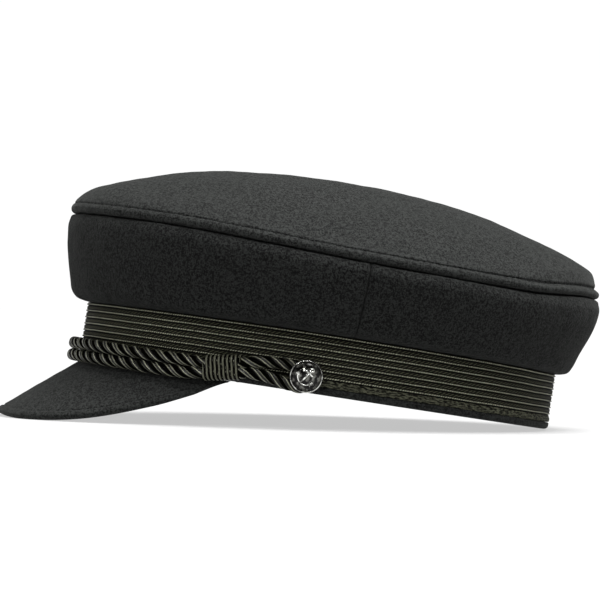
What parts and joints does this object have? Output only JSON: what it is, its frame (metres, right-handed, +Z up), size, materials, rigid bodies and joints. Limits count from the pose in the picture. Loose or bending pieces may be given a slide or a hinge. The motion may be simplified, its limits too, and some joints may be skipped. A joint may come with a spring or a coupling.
{
  "type": "peaked cap",
  "caption": "Fisherman cap of dark felted wool: domed crown, ribbed braid round the band, short sloping peak, twisted cord with wound sleeves, and domed buttons with a raised anchor.",
  "frame": {"origin": "middle of the cap's box, on the flat surface that it rests on", "axes": "the wearer looks along -Y, the wearer's left is +X, and +Z is up; the cap rests on both sides of its peak and the back of its rim, so its band leans by about 7 degrees"},
  "size_m": [0.213, 0.267, 0.1112],
  "materials": {
    "wool": "dark felted wool, matt",
    "braid": "woven braid, with satin ribs",
    "cord": "satin twisted cord",
    "yarn": "satin wound yarn",
    "button": "glossy black nickel"
  },
  "bodies": {
    "root": {"head_band": "wool", "peak": "wool", "braid": "braid", "side_crown_front": "wool", "side_crown_back": "wool", "tip": "wool", "cord": "cord", "wrap_left": "yarn", "wrap_right": "yarn", "button_left": "button", "button_right": "button"}
  },
  "joints": []
}
